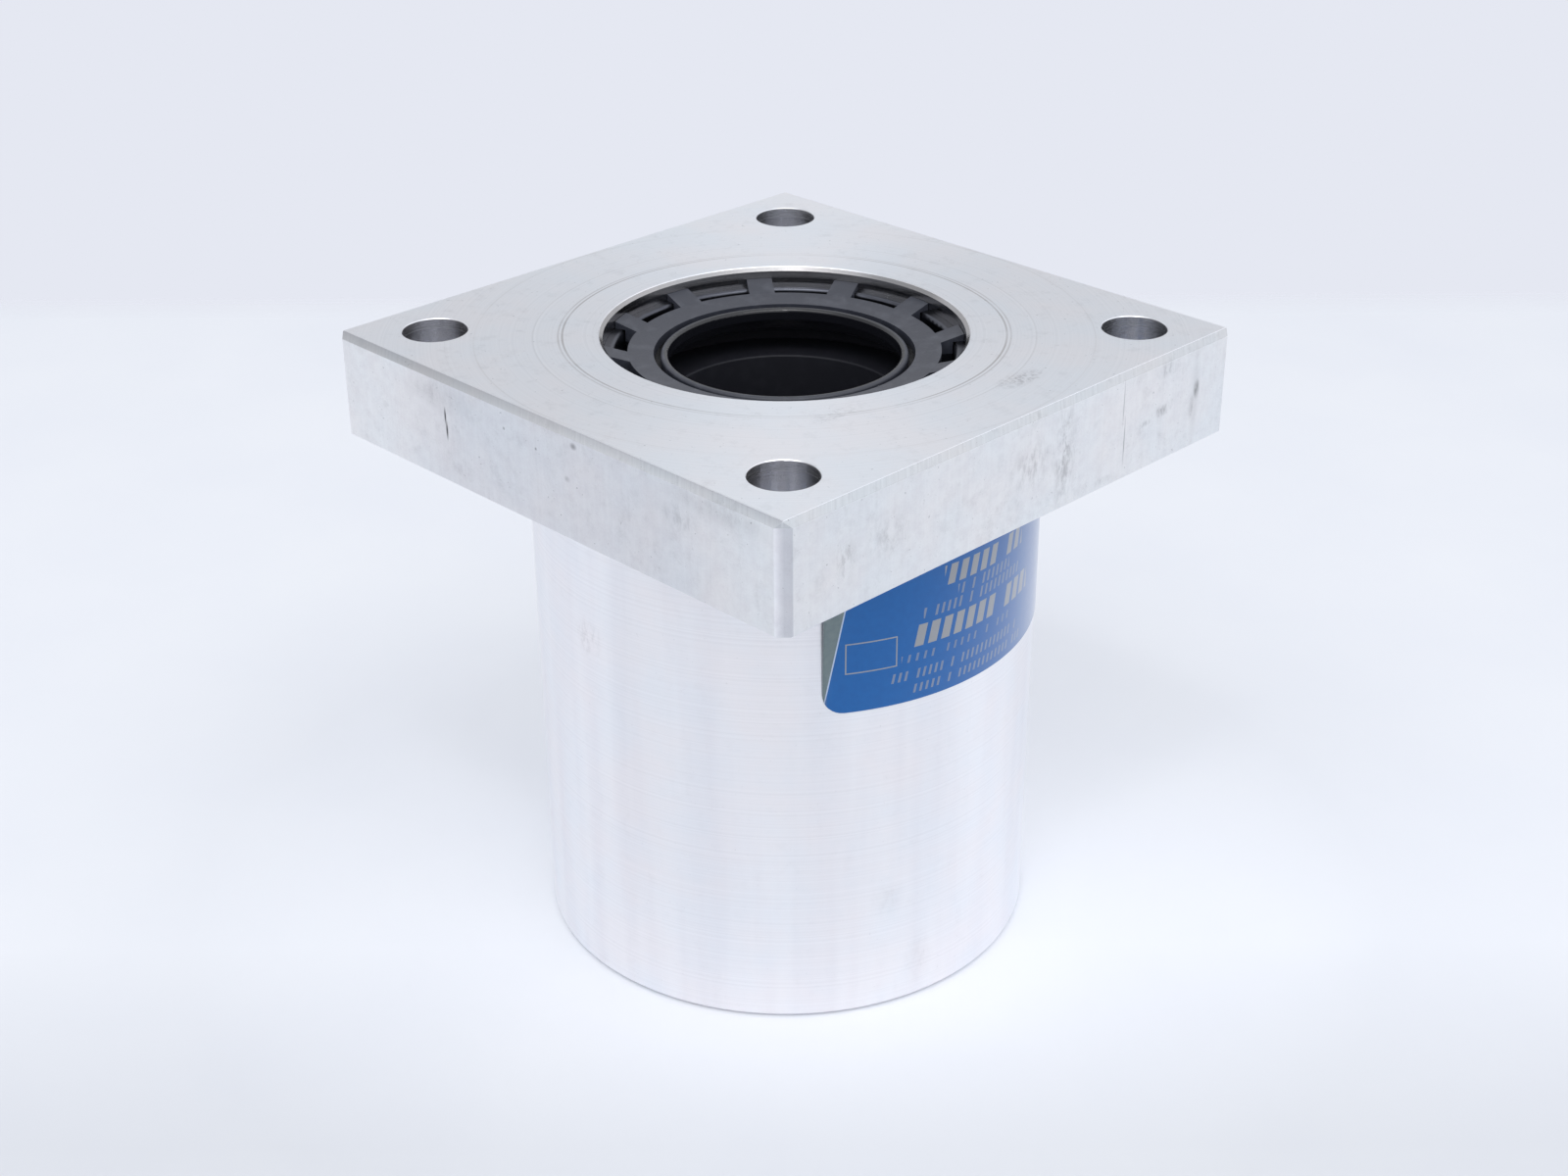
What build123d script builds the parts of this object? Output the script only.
from build123d import *
import math
import os

# A closed linear ball bushing for a 1 in shaft, held in a flange-mounted aluminium block.
# Millimetres. The origin is the centre of the barrel's lower end face, +Z runs up the shaft's
# axis to the flange's face, and the flange's sides lie along X and Y.

# Shaft and balls
shaft_diameter = 25.4
ball_diameter = 4.7625
shaft_to_ball = 0.07
circuit_count = 6

# Bearing plates: hardened steel, with a crowned back that lets each plate rock in the bore
plate_web = 2.0125
plate_width = 6.2
plate_setback = 0.2
plate_skirt = 0.85
plate_track_gap = 0.25
plate_back_gap = 0.05
plate_crown_relief = 0.3
plate_end_chamfer = 0.5
plate_side_gap = 0.18
plate_end_gap = 0.35
plate_under_gap = 0.3

# Polymer sleeve, which slides into the block's bore and carries the plates in its windows
bushing_length = 57.15
sleeve_to_bore = 0.03
sleeve_wall = 1.15

# Ball track: a load row under the bearing plate and a return row beside it, against the sleeve
row_angle = 24.0
return_to_sleeve = 0.18
ball_side_gap = 0.08
ball_to_ball = 0.06
track_end_margin = 5.83

# Retainer that guides the balls
retainer_to_shaft = 0.4
retainer_to_sleeve = 0.05
retainer_end_gap = 1.2
retainer_lead_in = 0.15

# Internal retaining rings, one in a groove at each end of the bushing
ring_thickness = 1.27
ring_section = 2.6
ring_thin_section = 1.9
ring_groove_depth = 1.1
ring_edge_gap = 0.1
ring_side_gap = 0.04
ring_gap_angle = 16.0
ring_lug_reach = 4.4
ring_lug_width = 5.2
ring_lug_hole = 2.0
ring_lug_hole_inset = 2.55

# Seal case: a drawn steel cup that stands on the retaining ring
case_height = 3.63
case_rim_width = 1.15
case_rim_round = 0.45
case_floor = 0.8
case_floor_width = 4.9
case_to_bore = 0.02

# Wiper seal: a moulded disc with a castellated edge that rests on the case's rim
tab_thickness = 0.83
tab_width = 2.95
tab_to_rim = 0.02
tab_to_bore = 0.05
seal_edge_drop = 0.85
seal_face_drop = 0.35
seal_to_case = 0.1
notch_count = 12
notch_reach = 2.65
notch_depth = 2.3
notch_angle = 8.8
lip_to_shaft = 0.05
lip_wall = 0.86
lip_land = 0.9
lip_round = 0.38
lip_groove_width = 0.74
lip_groove_depth = 1.9
lip_web = 0.7

# Block: square flange and round barrel, turned and milled from one piece of aluminium
barrel_wall = 8.73
barrel_end_chamfer = 0.5
end_recess = 7.125
bore_mouth_chamfer = 0.45
bolt_hole_diameter = 7.14
bolt_hole_break = 0.1
bolt_to_barrel = 6.025
bolt_to_edge = 7.71
flange_thickness = 12.0
flange_face_chamfer = 0.7
flange_back_chamfer = 0.12
flange_corner_chamfer = 1.2
flange_root_fillet = 0.4

# Foil label on the barrel, hung below the flange
label_thickness = 0.15
label_to_barrel = 0.01
label_to_flange = 0.9
label_height = 19.2
label_start_angle = -37.3
label_end_angle = 52.8
label_corner = 2.2

# Radii, from the shaft outwards
ball_radius = ball_diameter / 2
load_radius = shaft_diameter / 2 + shaft_to_ball + ball_radius
track_radius = ball_radius + plate_track_gap
plate_crown = load_radius + track_radius + plate_web
plate_inner = load_radius + track_radius - plate_skirt
bore_radius = plate_crown + plate_back_gap
sleeve_radius = bore_radius - sleeve_to_bore
sleeve_inner = sleeve_radius - sleeve_wall
return_radius = sleeve_inner - return_to_sleeve - ball_radius
channel_radius = ball_radius + ball_side_gap
retainer_radius = sleeve_inner - retainer_to_sleeve
retainer_bore = shaft_diameter / 2 + retainer_to_shaft
groove_radius = bore_radius + ring_groove_depth
ring_radius = groove_radius - ring_edge_gap
case_radius = bore_radius - case_to_bore
case_inner = case_radius - case_rim_width
lip_radius = shaft_diameter / 2 + lip_to_shaft
notch_root_radius = bore_radius - notch_reach
tab_radius = bore_radius - tab_to_bore
barrel_radius = bore_radius + barrel_wall

# Heights, from the middle of the bushing to the flange's face
block_length = bushing_length + 2 * end_recess
mid_height = block_length / 2
retainer_length = bushing_length - 2 * retainer_end_gap
bushing_top = mid_height + bushing_length / 2
ring_bottom = bushing_top + ring_side_gap
ring_top = ring_bottom + ring_thickness
case_bottom = ring_top + ring_side_gap
case_floor_top = case_bottom + case_floor
case_top = case_bottom + case_height
tab_base = case_top + tab_to_rim
tab_top = tab_base + tab_thickness
seal_edge_top = tab_top - seal_edge_drop
seal_face_top = seal_edge_top - seal_face_drop
flange_back = block_length - flange_thickness
label_bottom = flange_back - label_to_flange - label_height

# Flange, round the barrel and its bolts
bolt_hole_radius = bolt_hole_diameter / 2
bolt_spacing = math.sqrt(2) * (barrel_radius + bolt_to_barrel + bolt_hole_radius)
flange_side = bolt_spacing + 2 * bolt_to_edge
corner_span = math.sqrt(2) * (flange_side - flange_corner_chamfer)

# Ball track: both rows lie in one plane, which tilts because the return row is further out
load_point = Vector(load_radius, 0, mid_height)
return_point = Vector(return_radius, 0, mid_height).rotate(Axis.Z, row_angle)
row_chord = return_point - load_point
turn_radius = row_chord.length / 2
load_length = bushing_length - 2 * (track_end_margin + channel_radius + turn_radius)
plate_length = load_length - 2 * plate_setback
window_width = plate_width + 2 * plate_side_gap
window_length = plate_length + 2 * plate_end_gap
track_plane = Plane(
    origin=(load_point + return_point) / 2,
    x_dir=row_chord,
    z_dir=row_chord.cross(Vector(0, 0, 1)),
)


def depth(value):
    """Height of a point that lies this far below the flange's face."""
    return block_length - value


def both_ends(shape):
    """The shape made for the flange's end, and its twin at the barrel's end."""
    return shape, shape.mirror(Plane.XY.offset(mid_height))


def turned(points):
    """Solid of revolution about the shaft's axis, from an outline of (radius, height) points."""
    return revolve(Plane.XZ * make_face(Polyline(*points, close=True)), Axis.Z)


def ring_body(outer, inner, low, high):
    """Plain tube between two heights."""
    return turned([(inner, low), (outer, low), (outer, high), (inner, high)])


def circuit_turn(index):
    """Turn about the shaft's axis that brings the first circuit's place to another's."""
    return Rot(0, 0, index * 360 / circuit_count)


def rounds(shape):
    """Copies of a shape, one for each ball circuit."""
    return [circuit_turn(k) * shape for k in range(circuit_count)]


# Housing
def housing():
    flange = extrude(Rectangle(flange_side, flange_side), flange_thickness)
    flange = chamfer(flange.edges().group_by(Axis.Z)[-1], flange_face_chamfer)
    flange = chamfer(flange.edges().group_by(Axis.Z)[0], flange_back_chamfer)
    flange &= Rot(0, 0, 45) * extrude(Rectangle(corner_span, corner_span), flange_thickness)
    barrel = extrude(Circle(barrel_radius), flange_back)
    barrel = chamfer(barrel.edges().group_by(Axis.Z)[0], barrel_end_chamfer)
    block = barrel + Pos(0, 0, flange_back) * flange
    root = block.edges().filter_by(GeomType.CIRCLE).sort_by(Axis.Z)[-1]
    block = fillet(root, flange_root_fillet)
    block -= housing_bore()
    hole = bolt_hole()
    for place in GridLocations(bolt_spacing, bolt_spacing, 2, 2):
        block -= place * hole
    return block


def housing_bore():
    """The bore with its broken mouths and a groove for each retaining ring."""
    bore = extrude(Circle(bore_radius), block_length)
    mouth_radius = bore_radius + bore_mouth_chamfer
    mouth = turned([
        (0, depth(bore_mouth_chamfer)),
        (bore_radius, depth(bore_mouth_chamfer)),
        (mouth_radius, block_length),
        (0, block_length),
    ])
    groove_low = ring_bottom - ring_side_gap
    groove_high = ring_top + ring_side_gap
    groove = ring_body(groove_radius, bore_radius - ring_groove_depth, groove_low, groove_high)
    for cut in both_ends(mouth) + both_ends(groove):
        bore += cut
    return bore


def bolt_hole():
    """Plain through hole, with both edges lightly broken."""
    radius = bolt_hole_radius
    return turned([
        (0, flange_back),
        (radius + bolt_hole_break, flange_back),
        (radius, flange_back + bolt_hole_break),
        (radius, depth(bolt_hole_break)),
        (radius + bolt_hole_break, block_length),
        (0, block_length),
    ])


# Ball track
def track_point(along):
    """Point of the track's centre line, counted upwards from the middle of the return row."""
    half = load_length / 2
    turn = math.pi * turn_radius
    lap = 2 * load_length + 2 * turn
    along = along % lap
    if along < half:
        return turn_radius, along
    along -= half
    if along < turn:
        angle = along / turn_radius
        return turn_radius * math.cos(angle), half + turn_radius * math.sin(angle)
    along -= turn
    if along < load_length:
        return -turn_radius, half - along
    along -= load_length
    if along < turn:
        angle = along / turn_radius
        return -turn_radius * math.cos(angle), -half - turn_radius * math.sin(angle)
    return turn_radius, along - turn - half


def ball_places():
    """Ball centres in the track's plane: each ball a hair from the last, the spare room in one gap."""
    lap = 2 * load_length + 2 * math.pi * turn_radius
    pitch = ball_diameter + ball_to_ball
    search_step = ball_to_ball / 12
    places = [track_point(0)]
    along = 0.0
    while along < lap:
        along += search_step
        here = track_point(along)
        clear_of_last = math.dist(here, places[-1]) >= pitch
        clear_of_first = along < lap / 2 or math.dist(here, places[0]) >= pitch
        if clear_of_last and clear_of_first:
            places.append(here)
    return places


def channel():
    """Room for the balls: a round-bottomed race track, open on its outer side."""
    half = load_length / 2
    reach = bore_radius - load_radius + ball_diameter
    near = turn_radius - channel_radius
    far = turn_radius + channel_radius
    floor = ThreePointArc((near, 0), (turn_radius, -channel_radius), (far, 0))
    walls = Polyline((far, 0), (far, reach), (near, reach), (near, 0))
    section = Plane.XZ * make_face([floor, walls])
    straight = extrude(section, half, both=True)
    bend = Pos(0, half, 0) * revolve(section, Axis.Z, 180)
    half_track = straight + bend
    shape = half_track + Rot(0, 0, 180) * half_track
    return track_plane.location * shape


# Ball retainer
def ball_retainer():
    low = mid_height - retainer_length / 2
    high = mid_height + retainer_length / 2
    body = ring_body(retainer_radius, retainer_bore, low, high)
    mouth_edges = body.edges().filter_by(GeomType.CIRCLE).group_by(lambda e: e.radius)[0]
    body = chamfer(mouth_edges, retainer_lead_in)
    for cut in rounds(channel()) + rounds(window(plate_inner - plate_under_gap)):
        body -= cut
    return body


def window(inner_radius):
    """Opening for a bearing plate, from a radius outwards."""
    size = bore_radius - inner_radius + sleeve_wall
    return Pos(inner_radius + size / 2, 0, mid_height) * Box(size, window_width, window_length)


# Balls
def ball_circuit(index):
    ball = Sphere(ball_radius)
    turn = circuit_turn(index) * track_plane.location
    balls = [turn * Pos(across, up, 0) * ball for across, up in ball_places()]
    return Compound(children=balls)


# Bearing plates
def bearing_plate(index):
    """Hardened plate: crowned back, flat underside and a round track for the load row."""
    half = plate_length / 2
    ends = plate_crown - plate_crown_relief
    back = ThreePointArc((ends, half), (plate_crown, 0), (ends, -half))
    core = Polyline((ends, -half), (load_radius, -half), (load_radius, half), (ends, half))
    crowned = revolve(Plane.XZ * make_face([back, core]), Axis.Z)
    outline = Box(bore_radius, plate_width, plate_length, align=(Align.MIN, Align.CENTER, Align.CENTER))
    plate = crowned & Pos(plate_inner, 0, 0) * outline
    plate = chamfer(plate.edges().filter_by(Axis.Y).group_by(Axis.X)[0], plate_end_chamfer)
    plate -= Pos(load_radius, 0, 0) * Cylinder(track_radius, 2 * plate_length)
    return circuit_turn(index) * Pos(0, 0, mid_height) * plate


# Outer sleeve
def outer_sleeve():
    low = mid_height - bushing_length / 2
    high = mid_height + bushing_length / 2
    sleeve = ring_body(sleeve_radius, sleeve_inner, low, high)
    for cut in rounds(window(plate_inner)):
        sleeve -= cut
    return sleeve


# Retaining rings
def retaining_ring():
    """Internal ring: the section thins towards two drilled lugs beside the gap."""
    inner = ring_radius - (ring_section + ring_thin_section) / 2
    shift = (ring_section - ring_thin_section) / 2
    band = Circle(ring_radius) - Pos(shift, 0) * Circle(inner)
    half_gap = math.radians(ring_gap_angle / 2)
    lug_middle = ring_radius - ring_lug_reach / 2
    lug_angle = ring_gap_angle / 2 + math.degrees(ring_lug_width / 2 / lug_middle)
    lug = Pos(lug_middle, 0) * RectangleRounded(ring_lug_reach, ring_lug_width, ring_thin_section / 2)
    lug_hole = Pos(ring_radius - ring_lug_hole_inset, 0) * Circle(ring_lug_hole / 2)
    lugs = [Rot(0, 0, side * lug_angle) * lug for side in (-1, 1)]
    holes = [Rot(0, 0, side * lug_angle) * lug_hole for side in (-1, 1)]
    far = 2 * ring_radius
    mouth = Polyline(
        (0, 0),
        (far * math.cos(half_gap), far * math.sin(half_gap)),
        (far * math.cos(half_gap), -far * math.sin(half_gap)),
        close=True,
    )
    outline = band + lugs
    outline = (outline & Circle(ring_radius)) - make_face(mouth) - holes
    return Pos(0, 0, ring_bottom) * extrude(outline, ring_thickness)


# Seal case
def seal_case():
    floor_inner = case_radius - case_floor_width
    cup = turned([
        (floor_inner, case_bottom),
        (case_radius, case_bottom),
        (case_radius, case_top),
        (case_inner, case_top),
        (case_inner, case_floor_top),
        (floor_inner, case_floor_top),
    ])
    rim = cup.edges().filter_by(GeomType.CIRCLE).group_by(Axis.Z)[-1].sort_by(lambda e: e.radius)[0]
    return fillet(rim, case_rim_round)


# Wiper seal
def wiper_seal():
    """Moulded disc with a lip round the shaft and tabs that reach over the case's rim."""
    body_radius = case_inner - seal_to_case
    base = case_floor_top + seal_to_case
    lip_outer = lip_radius + lip_wall
    groove_outer = lip_outer + lip_groove_width
    groove_floor = seal_face_top - lip_groove_depth
    disc = turned([
        (lip_radius, seal_face_top - lip_round - lip_land),
        (lip_radius, seal_face_top),
        (lip_outer, seal_face_top),
        (lip_outer, groove_floor),
        (groove_outer, groove_floor),
        (groove_outer, seal_face_top),
        (notch_root_radius, seal_edge_top),
        (tab_radius, tab_top),
        (tab_radius, tab_base),
        (body_radius, tab_base),
        (body_radius, base),
        (groove_outer, base),
        (groove_outer - lip_web, groove_floor - lip_web),
        (lip_outer, groove_floor - lip_web),
    ])
    top_edges = disc.edges().filter_by(GeomType.CIRCLE).filter_by_position(Axis.Z, seal_face_top, seal_face_top)
    disc = fillet(top_edges.sort_by(lambda e: e.radius)[:2], lip_round)
    return disc - notches()


def notches():
    """The gaps between the tabs: a ring round the disc, less a radial bar for each tab."""
    floor = seal_edge_top - notch_depth
    outside = bore_radius + tab_width
    height = block_length - floor
    gap = ring_body(outside, notch_root_radius, floor, block_length)
    bar = Pos(outside / 2, 0, floor + height / 2) * Box(outside, tab_width, height)
    half_step = 180 / notch_count
    for k in range(notch_count):
        gap -= Rot(0, 0, notch_angle + (2 * k + 1) * half_step) * bar
    return gap


# Label
def label():
    """Thin foil with round corners that wraps part of the barrel."""
    inner = barrel_radius + label_to_barrel
    top = label_bottom + label_height
    sheet = ring_body(inner + label_thickness, inner, label_bottom, top)
    corner_turn = math.degrees(label_corner / barrel_radius)
    for side, end_angle in ((-1, label_start_angle), (1, label_end_angle)):
        sheet -= on_barrel(end_angle, label_bottom).location * beyond(side)
        corner_angle = end_angle - side * corner_turn
        for up, height in ((-1, label_bottom + label_corner), (1, top - label_corner)):
            sheet -= on_barrel(corner_angle, height).location * corner_cut(side, up)
    return sheet


def on_barrel(angle, height):
    """Plane that touches the barrel, with its X along the circumference."""
    radial = Vector(1, 0, 0).rotate(Axis.Z, angle)
    tangent = Vector(0, 1, 0).rotate(Axis.Z, angle)
    return Plane(origin=radial * barrel_radius + Vector(0, 0, height), x_dir=tangent, z_dir=radial)


def beyond(side):
    """All that lies past one end of the label."""
    size = 4 * barrel_radius
    return Pos(side * size / 2, 0, 0) * Box(size, size, size)


def corner_cut(side, up):
    """What a round corner leaves out, drawn about the centre of the corner's arc."""
    size = 1.5 * label_corner
    square = Pos(side * size / 2, up * size / 2) * Rectangle(size, size)
    return extrude(square - Circle(label_corner), barrel_radius / 2, both=True)


def main():
    os.makedirs("parts", exist_ok=True)
    pieces = {
        "housing": housing(),
        "outer_sleeve": outer_sleeve(),
        "ball_retainer": ball_retainer(),
        "label": label(),
    }
    for k in range(circuit_count):
        pieces[f"ball_circuit_{k + 1}"] = ball_circuit(k)
        pieces[f"bearing_plate_{k + 1}"] = bearing_plate(k)
    for name, shape in (
        ("retaining_ring", retaining_ring()),
        ("seal_case", seal_case()),
        ("wiper_seal", wiper_seal()),
    ):
        pieces[name + "_top"], pieces[name + "_bottom"] = both_ends(shape)
    for name, shape in pieces.items():
        export_step(shape, f"parts/{name}.step")
        print(name, round(shape.volume, 1))


main()
